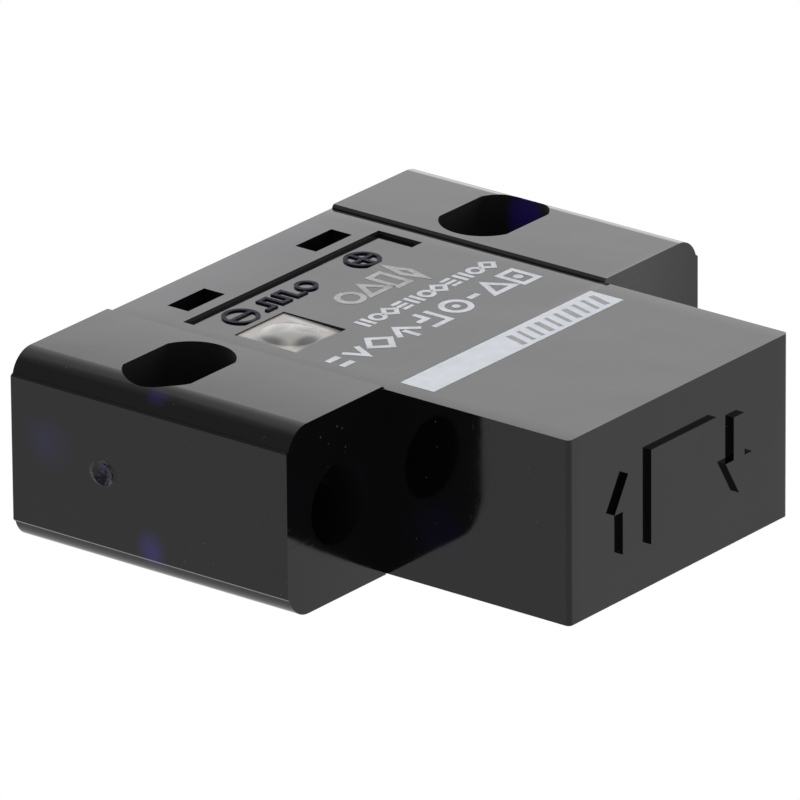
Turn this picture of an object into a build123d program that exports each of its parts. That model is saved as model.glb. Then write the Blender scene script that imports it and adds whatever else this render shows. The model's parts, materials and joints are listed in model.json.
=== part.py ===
from build123d import *
import math
import os

# Reflective photoelectric sensor with a rear connector socket.  Millimetres.
# Origin: centre of the slotted mounting pattern, on the resting plane of the wings.
# -Y is the sensing direction, +Z is the marked top, the wings lie along X.

# ---- driving dimensions ---------------------------------------------------------------
OVERALL_WIDTH = 25.0          # across both mounting wings
CASE_DEPTH = 21.5             # rear plane to sensing face
WING_DEPTH = 13.0
WING_HEIGHT = 7.5
WING_EDGE_RADIUS = 1.1        # long outer edges of the wings
END_PAD_PROUD = 0.08          # flat pad on each wing's outer end
END_PAD_LOW = 0.82
END_PAD_HIGH = 6.7
BLOCK_WIDTH = 13.4            # centre block with the optics
BLOCK_BOTTOM = 0.05
BLOCK_TOP = 7.36
STEP_BEVEL = 0.1              # slope from the block's top up to the wings
NOSE_EDGE_RADIUS = 0.18       # upright edges of the block's front

MOUNT_PITCH = 19.0            # between the two slots, and between the two round holes
SLOT_WIDTH = 3.2              # clearance for M3
SLOT_LENGTH = 4.7
SLOT_END_RADIUS = 1.75        # slot ends are flatter than half circles
SLOT_TO_REAR = 5.6
ROUND_HOLE_RADIUS = 1.6
ROUND_HOLE_Z = WING_HEIGHT / 2

WALL = 1.2                    # side and front walls of the centre block
SOCKET_LOW = 1.15             # socket opening, bottom and top
SOCKET_HIGH = 6.25
SOCKET_DEPTH = 5.1
MOUTH_CHAMFER = 0.3
BASE_THICKNESS = 1.4
CHAMBER_STEP = 0.35           # shoulder that stops the terminal base
CHAMBER_TOP = 6.0

LATCH_X = 3.84                # two windows that the plug's latches snap into
LATCH_WIDTH = 2.2
LATCH_LENGTH = 1.0
LATCH_TO_REAR = 1.35

POCKET_WIDTH = 11.8           # shallow pocket with the raised terminal marks
POCKET_LENGTH = 2.1
POCKET_DEPTH = 0.16
POCKET_TO_REAR = 2.87
MARK_HEIGHT = 0.06            # raised marks on the pocket's floor
MARK_STROKE = 0.16
MARK_RADIUS = 0.74
MARKS_TO_REAR = 4.03
POSITIVE_MARK_X = 3.43
NEGATIVE_MARK_X = -3.9
OUTPUT_RING_X = 0.02          # ring and square wave
OUTPUT_RING_RADIUS = 0.47
WAVE_X = -2.8
WAVE_STEP = 0.45
WAVE_COUNT = 5
WAVE_HALF = 0.4

LENS_SIDE = 2.96              # square indicator lens
LENS_CENTRE_X = -4.31
LENS_TO_REAR = 5.22
LENS_POCKET_DEPTH = 0.75
LENS_REAR_BELOW = 0.05        # the lens slopes down a little towards the front
LENS_FRONT_BELOW = 0.13
LENS_DOME_RADIUS = 1.15       # low dome in the middle of the lens
LENS_CROWN = 0.14
LENS_SPIGOT = (1.4, 1.2)
LENS_SPIGOT_LENGTH = 0.85

RELIEF = 0.2                  # raised marks on the sensing face
ARROW_X = 3.4
ARROW_LOW = 1.97
ARROW_HIGH = 5.07
ARROW_HEAD = 1.4
ARROW_HEAD_HALF = 0.83
ARROW_SHAFT_HALF = 0.33
DOWN_ARROW_LIFT = 0.12        # the downward arrow sits a little higher
SQUARE_HALF = 2.0
SQUARE_LOW = 1.8
SQUARE_HIGH = 5.55

GATE_Y = 1.25                 # dimple left by the moulding gate, on one wing's end
GATE_Z = 3.8
GATE_RADIUS = 0.5
GATE_DEPTH = 0.2

PIN_PITCH = 2.5
PIN_SIZE = 0.5
PIN_POINT = 0.15               # chamfer of the tip
PIN_REACH = 4.1               # bare length in the socket
PIN_TAIL = 1.7                # length on the board
PIN_POSITIONS = {"positive": 1.5, "output": -0.5, "negative": -1.5}   # in pitches

BOARD_THICKNESS = 0.8
BOARD_WIDTH = 10.2
BOARD_LENGTH = 10.4
BOARD_GAP = 0.1

PACKAGE_X = 2.6               # emitter and receiver each side of the centre
PACKAGE_WIDTH = 3.0
PACKAGE_DEPTH = 2.3
PACKAGE_HEIGHT = 3.2
DOME_RADIUS = 1.3
LEAD_SIZE = 0.4
LEAD_SPACING = 1.27
LEAD_ON_BOARD = 1.4
HOLDER_DEPTH = 3.0
HOLDER_POCKET = (3.2, 3.4)
BAFFLE_THICKNESS = 0.3
SHIELD_THICKNESS = 0.15

# ---- derived places -------------------------------------------------------------------
REAR_Y = SLOT_TO_REAR
WING_FRONT_Y = REAR_Y - WING_DEPTH
FRONT_Y = REAR_Y - CASE_DEPTH
HALF_BLOCK = BLOCK_WIDTH / 2
SOCKET_WIDTH = BLOCK_WIDTH - 2 * WALL
BASE_REAR_Y = REAR_Y - SOCKET_DEPTH
BASE_FRONT_Y = BASE_REAR_Y - BASE_THICKNESS
CHAMBER_FRONT_Y = FRONT_Y + WALL
CHAMBER_WIDTH = SOCKET_WIDTH - 2 * CHAMBER_STEP
CHAMBER_LOW = SOCKET_LOW + CHAMBER_STEP
PIN_Z = (SOCKET_LOW + SOCKET_HIGH) / 2 + 0.05
BOARD_LOW = PIN_Z + PIN_SIZE / 2
BOARD_HIGH = BOARD_LOW + BOARD_THICKNESS
BOARD_REAR_Y = BASE_FRONT_Y - BOARD_GAP
BOARD_FRONT_Y = BOARD_REAR_Y - BOARD_LENGTH
HOLDER_REAR_Y = CHAMBER_FRONT_Y + HOLDER_DEPTH
PACKAGE_REAR_Y = HOLDER_REAR_Y - 0.3
PACKAGE_FRONT_Y = PACKAGE_REAR_Y - PACKAGE_DEPTH
AXIS_Z = (CHAMBER_LOW + CHAMBER_TOP) / 2
LENS_REAR_Y = REAR_Y - LENS_TO_REAR
LENS_CENTRE_Y = LENS_REAR_Y - LENS_SIDE / 2
LENS_FLOOR = BLOCK_TOP - LENS_POCKET_DEPTH
POCKET_REAR_Y = REAR_Y - POCKET_TO_REAR
POCKET_FLOOR = BLOCK_TOP - POCKET_DEPTH
MARKS_Y = REAR_Y - MARKS_TO_REAR
SPIGOT_CENTRE_Y = BASE_FRONT_Y - 0.1 - LENS_SPIGOT[1] / 2


def block(x, y, z):
    """Box between the two values given for each direction."""
    size = [high - low for low, high in (x, y, z)]
    middle = [(high + low) / 2 for low, high in (x, y, z)]
    return Pos(*middle) * Box(*size)


def plate(outline, z_low, thickness):
    """Closed outline of (x, y) points, raised in Z."""
    face = make_face(Polyline(*outline, close=True))
    return Pos(0, 0, z_low) * extrude(face, thickness)


# ---- case -----------------------------------------------------------------------------
def wing_outer_end(side):
    """One wing, from the side of the centre block to its rounded outer edges."""
    outer = OVERALL_WIDTH / 2 - END_PAD_PROUD
    body = block((HALF_BLOCK, outer), (WING_FRONT_Y, REAR_Y), (0, WING_HEIGHT))
    long_edges = body.edges().filter_by(Axis.Y).group_by(Axis.X)[-1]
    body = fillet(long_edges, WING_EDGE_RADIUS)
    step_edge = body.edges().filter_by(Axis.Y).sort_by(lambda edge: edge.center().Z - edge.center().X)[-1]
    body = chamfer(step_edge, STEP_BEVEL)
    pad = block((outer - 0.5, outer + END_PAD_PROUD), (WING_FRONT_Y, REAR_Y), (END_PAD_LOW, END_PAD_HIGH))
    pad_rim = pad.edges().filter_by(Axis.Y).group_by(Axis.X)[-1]
    wing = body + chamfer(pad_rim, END_PAD_PROUD)
    return wing if side > 0 else mirror(wing, Plane.YZ)


def centre_block():
    """Block from the sensing face to the rear, its upright front edges rounded."""
    body = block((-HALF_BLOCK, HALF_BLOCK), (FRONT_Y, REAR_Y), (BLOCK_BOTTOM, BLOCK_TOP))
    upright = body.edges().filter_by(Axis.Z).group_by(Axis.Y)[0]
    return fillet(upright, NOSE_EDGE_RADIUS)


def slot_cutter(side):
    """Slot through a wing: straight sides with arc ends flatter than half circles."""
    end = SLOT_LENGTH / 2 - SLOT_END_RADIUS
    tall = WING_HEIGHT + 2
    strip = Box(SLOT_LENGTH, SLOT_WIDTH, tall)
    left = Pos(-end, 0, 0) * Cylinder(SLOT_END_RADIUS, tall)
    right = Pos(end, 0, 0) * Cylinder(SLOT_END_RADIUS, tall)
    middle = Box(2 * end, SLOT_WIDTH, tall)
    rounded = (left + right + middle) & strip
    return Pos(side * MOUNT_PITCH / 2, 0, WING_HEIGHT / 2) * rounded


def round_hole_cutter(side):
    length = WING_DEPTH + 2
    place = Pos(side * MOUNT_PITCH / 2, REAR_Y - WING_DEPTH / 2, ROUND_HOLE_Z)
    return place * Rot(90, 0, 0) * Cylinder(ROUND_HOLE_RADIUS, length)


def socket_cutter():
    """Connector socket and the narrower chamber in front of its shoulder."""
    half = SOCKET_WIDTH / 2
    socket = block((-half, half), (BASE_FRONT_Y, REAR_Y + 1), (SOCKET_LOW, SOCKET_HIGH))
    narrow = CHAMBER_WIDTH / 2
    chamber = block(
        (-narrow, narrow), (CHAMBER_FRONT_Y, BASE_FRONT_Y + 0.5), (CHAMBER_LOW, CHAMBER_TOP)
    )
    return socket + chamber


def latch_cutter(side):
    rear = REAR_Y - LATCH_TO_REAR
    x = side * LATCH_X
    return block(
        (x - LATCH_WIDTH / 2, x + LATCH_WIDTH / 2), (rear - LATCH_LENGTH, rear), (5.0, BLOCK_TOP + 1)
    )


def marking_pocket():
    half = POCKET_WIDTH / 2
    return block(
        (-half, half), (POCKET_REAR_Y - POCKET_LENGTH, POCKET_REAR_Y), (BLOCK_TOP - POCKET_DEPTH, 8.0)
    )


def mark_ring(x, radius):
    return Pos(x, MARKS_Y, 0) * (Cylinder(radius, MARK_HEIGHT) - Cylinder(radius - MARK_STROKE, MARK_HEIGHT))


def mark_bar(x, y):
    """Bar over the given ranges, thicker by half a stroke all round."""
    half = MARK_STROKE / 2
    return block(
        (x[0] - half, x[1] + half), (y[0] - half, y[1] + half), (-MARK_HEIGHT / 2, MARK_HEIGHT / 2)
    )


def polarity_mark(x, with_upright):
    """Ring with a bar in it, or a cross."""
    reach = MARK_RADIUS - 1.5 * MARK_STROKE
    mark = mark_ring(x, MARK_RADIUS) + mark_bar((x - reach, x + reach), (MARKS_Y, MARKS_Y))
    if with_upright:
        mark = mark + mark_bar((x, x), (MARKS_Y - reach, MARKS_Y + reach))
    return mark


def output_mark():
    """Square wave with a ring after it: the signal output."""
    low = MARKS_Y - WAVE_HALF
    high = MARKS_Y + WAVE_HALF
    mark = mark_bar((WAVE_X, WAVE_X + WAVE_STEP), (low, low))
    for i in range(1, WAVE_COUNT):
        x = WAVE_X + i * WAVE_STEP
        level = high if i % 2 else low
        mark = mark + mark_bar((x, x), (low, high)) + mark_bar((x, x + WAVE_STEP), (level, level))
    return mark + mark_ring(OUTPUT_RING_X, OUTPUT_RING_RADIUS)


def raised_marks():
    """The three terminal marks, standing on the pocket's floor."""
    marks = polarity_mark(POSITIVE_MARK_X, True) + polarity_mark(NEGATIVE_MARK_X, False) + output_mark()
    return Pos(0, 0, POCKET_FLOOR + MARK_HEIGHT / 2) * marks


def lens_cutter():
    """Stepped window: a square pocket with a smaller hole below it."""
    half = LENS_SIDE / 2
    pocket = block(
        (LENS_CENTRE_X - half, LENS_CENTRE_X + half),
        (LENS_CENTRE_Y - half, LENS_CENTRE_Y + half),
        (LENS_FLOOR, BLOCK_TOP + 1),
    )
    hole = Pos(LENS_CENTRE_X, SPIGOT_CENTRE_Y, LENS_FLOOR) * Box(*LENS_SPIGOT, 2.0)
    return pocket + hole


def gate_dimple():
    """Shallow bowl in the end of the wing at -X."""
    ball_radius = (GATE_RADIUS ** 2 + GATE_DEPTH ** 2) / (2 * GATE_DEPTH)
    centre_x = -OVERALL_WIDTH / 2 - ball_radius + GATE_DEPTH
    return Pos(centre_x, GATE_Y, GATE_Z) * Rot(0, 90, 0) * Sphere(ball_radius)


def arrow_relief(x, pointing, lift):
    """Raised arrow on the sensing face; pointing is +1 for up and -1 for down."""
    middle = (ARROW_LOW + ARROW_HIGH) / 2 + lift
    reach = (ARROW_HIGH - ARROW_LOW) / 2
    shoulder = reach - ARROW_HEAD
    half_outline = [
        (ARROW_SHAFT_HALF, -reach),
        (ARROW_SHAFT_HALF, shoulder),
        (ARROW_HEAD_HALF, shoulder),
        (0, reach),
    ]
    outline = half_outline + [(-u, w) for u, w in half_outline[-2::-1]]
    points = [(x + u, 0, middle + pointing * w) for u, w in outline]
    face = make_face(Polyline(*points, close=True))
    return Pos(0, FRONT_Y, 0) * extrude(face, RELIEF, dir=(0, -1, 0))


def case():
    shell = centre_block() + wing_outer_end(1) + wing_outer_end(-1)
    for side in (-1, 1):
        shell = shell - slot_cutter(side)
        shell = shell - round_hole_cutter(side)
        shell = shell - latch_cutter(side)
    shell = shell - socket_cutter() - marking_pocket() - lens_cutter()
    mouth = [
        edge
        for edge in shell.faces().filter_by(Axis.Y).sort_by(Axis.Y)[-1].edges()
        if abs(edge.center().X) < HALF_BLOCK - 0.5 and SOCKET_LOW - 0.1 < edge.center().Z < SOCKET_HIGH + 0.1
    ]
    shell = chamfer(mouth, MOUTH_CHAMFER)
    shell = shell + raised_marks()
    square = block(
        (-SQUARE_HALF, SQUARE_HALF), (FRONT_Y - RELIEF, FRONT_Y + 0.05), (SQUARE_LOW, SQUARE_HIGH)
    )
    shell = shell + square - gate_dimple()
    return shell + arrow_relief(-ARROW_X, 1, 0) + arrow_relief(ARROW_X, -1, DOWN_ARROW_LIFT)


# ---- indicator ------------------------------------------------------------------------
def indicator_lens():
    """Square window with a low dome and a spigot down to the indicator light."""
    half = LENS_SIDE / 2
    rear_rim = BLOCK_TOP - LENS_REAR_BELOW
    front_rim = BLOCK_TOP - LENS_FRONT_BELOW
    side = [
        (LENS_CENTRE_Y - half, LENS_FLOOR),
        (LENS_CENTRE_Y + half, LENS_FLOOR),
        (LENS_CENTRE_Y + half, rear_rim),
        (LENS_CENTRE_Y - half, front_rim),
    ]
    face = make_face(Polyline(*[(LENS_CENTRE_X - half, y, z) for y, z in side], close=True))
    body = extrude(face, LENS_SIDE, dir=(1, 0, 0))
    rim = (rear_rim + front_rim) / 2
    sphere_radius = (LENS_DOME_RADIUS ** 2 + LENS_CROWN ** 2) / (2 * LENS_CROWN)
    tilt = math.degrees(math.atan2(rear_rim - front_rim, LENS_SIDE))
    middle = Pos(LENS_CENTRE_X, LENS_CENTRE_Y, rim) * Rot(tilt, 0, 0)
    dome = Pos(0, 0, LENS_CROWN - sphere_radius) * Sphere(sphere_radius) & Cylinder(LENS_DOME_RADIUS + 0.05, 0.8)
    spigot = Pos(LENS_CENTRE_X, SPIGOT_CENTRE_Y, LENS_FLOOR + 0.1 - LENS_SPIGOT_LENGTH / 2) * Box(
        *LENS_SPIGOT, LENS_SPIGOT_LENGTH + 0.2
    )
    return body + middle * dome + spigot


def indicator_led():
    """Surface-mounted light under the spigot."""
    x = LENS_CENTRE_X
    y = SPIGOT_CENTRE_Y
    body = block((x - 0.45, x + 0.45), (y - 0.4, y + 0.4), (BOARD_HIGH, BOARD_HIGH + 0.55))
    return body + block((x - 0.65, x + 0.65), (y - 0.4, y + 0.4), (BOARD_HIGH, BOARD_HIGH + 0.25))


# ---- connector ------------------------------------------------------------------------
def pin_x(name):
    return PIN_POSITIONS[name] * PIN_PITCH


def terminal_base():
    """Insulating plate that the three contact pins pass through."""
    half = SOCKET_WIDTH / 2
    base = block((-half, half), (BASE_FRONT_Y, BASE_REAR_Y), (SOCKET_LOW, SOCKET_HIGH))
    for name in PIN_POSITIONS:
        base = base - Pos(pin_x(name), BASE_REAR_Y, PIN_Z) * Box(PIN_SIZE, 4 * BASE_THICKNESS, PIN_SIZE)
    return base


def terminal_pin(name):
    """Square pin with a pointed tip in the socket and a tail under the board."""
    tip_y = BASE_REAR_Y + PIN_REACH
    tail_y = BASE_FRONT_Y - PIN_TAIL
    half = PIN_SIZE / 2
    x = pin_x(name)
    shank = block((x - half, x + half), (tail_y, tip_y), (PIN_Z - half, PIN_Z + half))
    tip_edges = shank.faces().sort_by(Axis.Y)[-1].edges()
    return chamfer(tip_edges, PIN_POINT)


def solder_joints():
    """A fillet of solder each side of each pin tail."""
    reach = 0.3
    solids = []
    for name in PIN_POSITIONS:
        for side in (-1, 1):
            root = pin_x(name) + side * PIN_SIZE / 2
            corner = [(root, BOARD_LOW), (root + side * reach, BOARD_LOW), (root, BOARD_LOW - PIN_SIZE * 0.8)]
            points = [(x, BOARD_REAR_Y - 0.3, z) for x, z in corner]
            face = make_face(Polyline(*points, close=True))
            solids.append(extrude(face, PIN_TAIL - 0.6, dir=(0, -1, 0)))
    return Compound(children=solids)


# ---- electronics ----------------------------------------------------------------------
def circuit_board():
    half = BOARD_WIDTH / 2
    return block((-half, half), (BOARD_FRONT_Y, BOARD_REAR_Y), (BOARD_LOW, BOARD_HIGH))


def body_under_board(x, y, size, gap=0.1):
    """Component body hanging under the board; returns the body alone."""
    top = BOARD_LOW - gap
    return block(
        (x - size[0] / 2, x + size[0] / 2), (y - size[1] / 2, y + size[1] / 2), (top - size[2], top)
    )


def gull_leads(x, y, size, columns, rows, lead=0.3):
    """Leads from the two long sides of a body up to the board; columns differ on each side."""
    solids = []
    bottom = BOARD_LOW - 0.1 - size[2] / 2
    for side, xs in zip((-1, 1), columns):
        edge = y + side * size[1] / 2
        for u in xs:
            wide = (x + u - lead / 2, x + u + lead / 2)
            outer = edge + side * rows
            down = block(wide, sorted((edge, edge + side * 0.2)), (bottom, BOARD_LOW))
            foot = block(wide, sorted((edge, outer)), (BOARD_LOW - 0.15, BOARD_LOW))
            solids.append(down + foot)
    return Compound(children=solids)


IC_PLACE = (1.0, -6.4)
IC_SIZE = (3.4, 3.0, 1.2)
IC_COLUMNS = ([-1.2, -0.4, 0.4, 1.2], [-1.2, -0.4, 0.4, 1.2])
TRANSISTOR_PLACE = (-3.3, -4.4)
TRANSISTOR_SIZE = (2.9, 1.3, 0.95)
TRANSISTOR_COLUMNS = ([-0.95, 0.95], [0.0])


def signal_ic():
    return body_under_board(*IC_PLACE, IC_SIZE)


def signal_ic_leads():
    return gull_leads(*IC_PLACE, IC_SIZE, IC_COLUMNS, 0.6)


def output_transistor():
    return body_under_board(*TRANSISTOR_PLACE, TRANSISTOR_SIZE)


def output_transistor_leads():
    return gull_leads(*TRANSISTOR_PLACE, TRANSISTOR_SIZE, TRANSISTOR_COLUMNS, 0.5, lead=0.4)


def tantalum_capacitor():
    return body_under_board(-3.3, -7.0, (3.2, 1.6, 1.5), gap=0)


def polarity_diode():
    return body_under_board(3.9, -3.9, (1.7, 1.25, 0.9), gap=0)


def chips_on_board(places, size):
    """Row of small two-terminal parts on the upper side of the board."""
    solids = [
        block((x - size[0] / 2, x + size[0] / 2), (y - size[1] / 2, y + size[1] / 2),
              (BOARD_HIGH, BOARD_HIGH + size[2]))
        for x, y in places
    ]
    return Compound(children=solids)


def chip_resistors():
    places = [(-1.5 + 1.7 * i, -3.0) for i in range(4)]
    return chips_on_board(places, (1.0, 0.5, 0.35))


def chip_capacitors():
    places = [(-2.4 + 2.4 * i, -8.2) for i in range(3)]
    return chips_on_board(places, (1.6, 0.8, 0.8))


def shield_plate():
    """Thin screen on the chamber floor, under the components."""
    half = CHAMBER_WIDTH / 2 - 0.3
    return block(
        (-half, half), (HOLDER_REAR_Y + 0.4, BASE_FRONT_Y - 1.0), (CHAMBER_LOW, CHAMBER_LOW + SHIELD_THICKNESS)
    )


# ---- optics ---------------------------------------------------------------------------
def light_package(x):
    """Moulded package with a lens dome towards the sensing face."""
    body = block(
        (x - PACKAGE_WIDTH / 2, x + PACKAGE_WIDTH / 2),
        (PACKAGE_FRONT_Y, PACKAGE_REAR_Y),
        (AXIS_Z - PACKAGE_HEIGHT / 2, AXIS_Z + PACKAGE_HEIGHT / 2),
    )
    reach = 0.35
    sphere_radius = (DOME_RADIUS ** 2 + reach ** 2) / (2 * reach)
    ball = Pos(x, PACKAGE_FRONT_Y - reach + sphere_radius, AXIS_Z) * Sphere(sphere_radius)
    dome = ball & block(
        (x - 1.4, x + 1.4), (PACKAGE_FRONT_Y - 1, PACKAGE_FRONT_Y + 0.1), (AXIS_Z - 1.4, AXIS_Z + 1.4)
    )
    return body + dome


def package_leads(x):
    """Two straight leads from the back of a package to the underside of the board."""
    solids = []
    for side in (-1, 1):
        u = x + side * LEAD_SPACING / 2
        solids.append(
            block(
                (u - LEAD_SIZE / 2, u + LEAD_SIZE / 2),
                (PACKAGE_REAR_Y, BOARD_FRONT_Y + LEAD_ON_BOARD),
                (BOARD_LOW - LEAD_SIZE, BOARD_LOW),
            )
        )
    return Compound(children=solids)


def optics_holder():
    """Block with a pocket for each package, open to the front, and passages for the leads."""
    half = CHAMBER_WIDTH / 2
    holder = block((-half, half), (CHAMBER_FRONT_Y, HOLDER_REAR_Y), (CHAMBER_LOW, CHAMBER_TOP))
    wide, tall = HOLDER_POCKET
    low = AXIS_Z - PACKAGE_HEIGHT / 2
    for side in (-1, 1):
        x = side * PACKAGE_X
        holder = holder - block(
            (x - wide / 2, x + wide / 2), (CHAMBER_FRONT_Y - 1, PACKAGE_REAR_Y), (low, low + tall)
        )
        holder = holder - block(
            (x - 1.0, x + 1.0), (PACKAGE_REAR_Y - 0.1, HOLDER_REAR_Y + 1), (BOARD_LOW - 0.5, BOARD_LOW + 0.1)
        )
    return holder - light_baffle()


def light_baffle():
    """Opaque sheet between emitter and receiver."""
    half = BAFFLE_THICKNESS / 2
    return block((-half, half), (CHAMBER_FRONT_Y, HOLDER_REAR_Y - 0.5), (CHAMBER_LOW, CHAMBER_TOP))


# ---- write every sub-part -------------------------------------------------------------
def parts():
    made = {
        "case": case(),
        "indicator_lens": indicator_lens(),
        "terminal_base": terminal_base(),
        "solder_joints": solder_joints(),
        "circuit_board": circuit_board(),
        "emitter_package": light_package(-PACKAGE_X),
        "emitter_leads": package_leads(-PACKAGE_X),
        "receiver_package": light_package(PACKAGE_X),
        "receiver_leads": package_leads(PACKAGE_X),
        "optics_holder": optics_holder(),
        "light_baffle": light_baffle(),
        "signal_ic": signal_ic(),
        "signal_ic_leads": signal_ic_leads(),
        "output_transistor": output_transistor(),
        "output_transistor_leads": output_transistor_leads(),
        "indicator_led": indicator_led(),
        "chip_resistors": chip_resistors(),
        "chip_capacitors": chip_capacitors(),
        "tantalum_capacitor": tantalum_capacitor(),
        "polarity_diode": polarity_diode(),
        "shield_plate": shield_plate(),
    }
    for name in PIN_POSITIONS:
        made["terminal_pin_" + name] = terminal_pin(name)
    return made


os.makedirs("parts", exist_ok=True)
for node, shape in parts().items():
    export_step(shape, f"parts/{node}.step")
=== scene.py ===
import json
import math

import bmesh
import bpy
from mathutils import Matrix, Vector


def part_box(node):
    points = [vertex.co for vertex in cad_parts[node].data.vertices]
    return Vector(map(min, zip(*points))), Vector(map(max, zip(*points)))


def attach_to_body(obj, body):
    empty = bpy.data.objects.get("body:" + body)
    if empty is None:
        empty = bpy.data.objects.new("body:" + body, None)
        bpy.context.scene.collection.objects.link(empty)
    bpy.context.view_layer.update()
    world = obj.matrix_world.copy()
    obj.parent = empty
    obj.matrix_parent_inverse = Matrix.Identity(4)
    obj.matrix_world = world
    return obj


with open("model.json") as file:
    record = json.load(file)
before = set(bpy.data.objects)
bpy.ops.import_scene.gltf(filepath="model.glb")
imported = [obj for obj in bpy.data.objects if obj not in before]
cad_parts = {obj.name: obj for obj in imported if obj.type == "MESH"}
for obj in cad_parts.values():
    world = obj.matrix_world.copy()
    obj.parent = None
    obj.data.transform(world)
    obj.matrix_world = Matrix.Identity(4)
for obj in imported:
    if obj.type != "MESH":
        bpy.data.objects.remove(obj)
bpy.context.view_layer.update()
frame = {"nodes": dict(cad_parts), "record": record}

MM = 0.001

# ---- places, read from the frame, in millimetres ---------------------------------------
CASE_LOW, CASE_HIGH = [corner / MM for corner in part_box("case")]
LENS_LOW, LENS_HIGH = [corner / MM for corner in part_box("indicator_lens")]
RELIEF = 0.2                               # raised marks on the sensing face
FRONT_Y = CASE_LOW.y + RELIEF              # sensing face
REAR_Y = CASE_HIGH.y
WING_END_X = CASE_HIGH.x
WING_TOP = CASE_HIGH.z
STEP = 0.14                                # from the wings' tops down to the block's
BLOCK_TOP = WING_TOP - STEP
HALF_BLOCK = 6.7                           # half the centre block's width
WING_FRONT_Y = -7.4

# ---- camera ---------------------------------------------------------------------------
CAMERA_AZIMUTH = math.radians(-51.87)
CAMERA_ELEVATION = math.radians(21.835)
CAMERA_ROLL = math.radians(-0.475)
CAMERA_DISTANCE = 482.8 * MM
CAMERA_LENS = 585.4                        # millimetres
CAMERA_SENSOR = 36                         # millimetres
CAMERA_TARGET = Vector((-2.10, -4.51, 4.76)) * MM

# ---- light ----------------------------------------------------------------------------
FLOOR_GLOW = 1.0
FLOOR_RADIUS = 3                           # metres
FLOOR_GAP = 0.02                           # millimetres below the wings, so that the faces don't coincide
CONTACT_SOFT = 0.15                        # edge of the painted shadow under the object
EDGE_INSET = 0.3                           # from an outer edge in to the painted shadow
FILLET_INSET = 1.3                         # from a wing's end in to the painted shadow, past its fillet
FRONT_LEVEL = 0.5                          # the side the camera looks from
BACK_DIRECTION = (0.788, 0.616, 0)
BACK_RAMP = (0.0, 0.42)
SKY_PEAK = 3.0                             # level of the white part of the ramp
SKY_LEVELS = [(0.0, 3.0), (0.22, 2.85), (0.37, 2.3), (0.5, 1.75), (0.8, 1.4), (0.95, 0.8)]


def add_camera():
    """Camera at the given azimuth, elevation, roll and distance from its target."""
    flat = math.cos(CAMERA_ELEVATION)
    back = Vector((
        math.sin(CAMERA_AZIMUTH) * flat,
        -math.cos(CAMERA_AZIMUTH) * flat,
        math.sin(CAMERA_ELEVATION),
    ))
    right = (-back).cross(Vector((0, 0, 1))).normalized()
    up = right.cross(-back)
    rolled_right = right * math.cos(CAMERA_ROLL) + up * math.sin(CAMERA_ROLL)
    rolled_up = up * math.cos(CAMERA_ROLL) - right * math.sin(CAMERA_ROLL)
    turn = Matrix((rolled_right, rolled_up, back)).transposed()
    data = bpy.data.cameras.new("camera")
    data.lens = CAMERA_LENS
    data.sensor_width = CAMERA_SENSOR
    data.clip_start = 0.01
    data.clip_end = 50
    camera = bpy.data.objects.new("camera", data)
    camera.matrix_world = Matrix.Translation(CAMERA_TARGET + back * CAMERA_DISTANCE) @ turn.to_4x4()
    bpy.context.scene.collection.objects.link(camera)
    bpy.context.scene.camera = camera


# ---- node helpers ---------------------------------------------------------------------
def node(tree, kind, **values):
    """New node, with its properties or its inputs set by name."""
    made = tree.nodes.new(kind)
    for key, value in values.items():
        if key in made.inputs:
            made.inputs[key].default_value = value
        else:
            setattr(made, key, value)
    return made


def attach(tree, source, target):
    """Links a socket, or sets a plain number or tuple, as the target's value."""
    if isinstance(source, bpy.types.NodeSocket):
        tree.links.new(source, target)
    else:
        target.default_value = source


def math_node(tree, operation, a, b=0.0):
    made = node(tree, "ShaderNodeMath", operation=operation)
    attach(tree, a, made.inputs[0])
    attach(tree, b, made.inputs[1])
    return made.outputs[0]


def add(tree, a, b):
    return math_node(tree, "ADD", a, b)


def multiply(tree, *values):
    product = values[0]
    for value in values[1:]:
        product = math_node(tree, "MULTIPLY", product, value)
    return product


def highest(tree, *values):
    top = values[0]
    for value in values[1:]:
        top = math_node(tree, "MAXIMUM", top, value)
    return top


def opposite(tree, mask):
    """1 where the mask is 0, and 0 where it is 1."""
    return math_node(tree, "SUBTRACT", 1.0, mask)


def between(tree, value, limits):
    """1 where the value lies between the two limits, 0 elsewhere."""
    above = math_node(tree, "GREATER_THAN", value, limits[0])
    return multiply(tree, above, math_node(tree, "LESS_THAN", value, limits[1]))


def off_row(tree, along, pitch):
    """Distance to the nearest multiple of the pitch, in pitches."""
    offset = multiply(tree, along, 1 / pitch)
    return math_node(tree, "ABSOLUTE", math_node(tree, "SUBTRACT", offset, math_node(tree, "ROUND", offset)))


def remap(tree, value, old, new, smooth=False):
    """Value taken from the old range to the new one, and held there outside it."""
    made = node(tree, "ShaderNodeMapRange", interpolation_type="SMOOTHSTEP" if smooth else "LINEAR")
    attach(tree, value, made.inputs["Value"])
    for key, number in zip(("From Min", "From Max", "To Min", "To Max"), (*old, *new)):
        made.inputs[key].default_value = number
    return made.outputs[0]


def mix_colour(tree, factor, a, b):
    made = node(tree, "ShaderNodeMix", data_type="RGBA")
    attach(tree, factor, made.inputs["Factor"])
    colours = [socket for socket in made.inputs if socket.type == "RGBA"]
    for source, socket in zip((a, b), colours):
        attach(tree, source, socket)
    return next(socket for socket in made.outputs if socket.type == "RGBA")


def split(tree, vector):
    made = node(tree, "ShaderNodeSeparateXYZ")
    attach(tree, vector, made.inputs[0])
    return made.outputs


def millimetres(tree):
    """Place on the object, in millimetres."""
    coords = node(tree, "ShaderNodeTexCoord")
    scaled = node(tree, "ShaderNodeVectorMath", operation="SCALE", Scale=1 / MM)
    tree.links.new(coords.outputs["Object"], scaled.inputs[0])
    return scaled.outputs[0]


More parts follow.
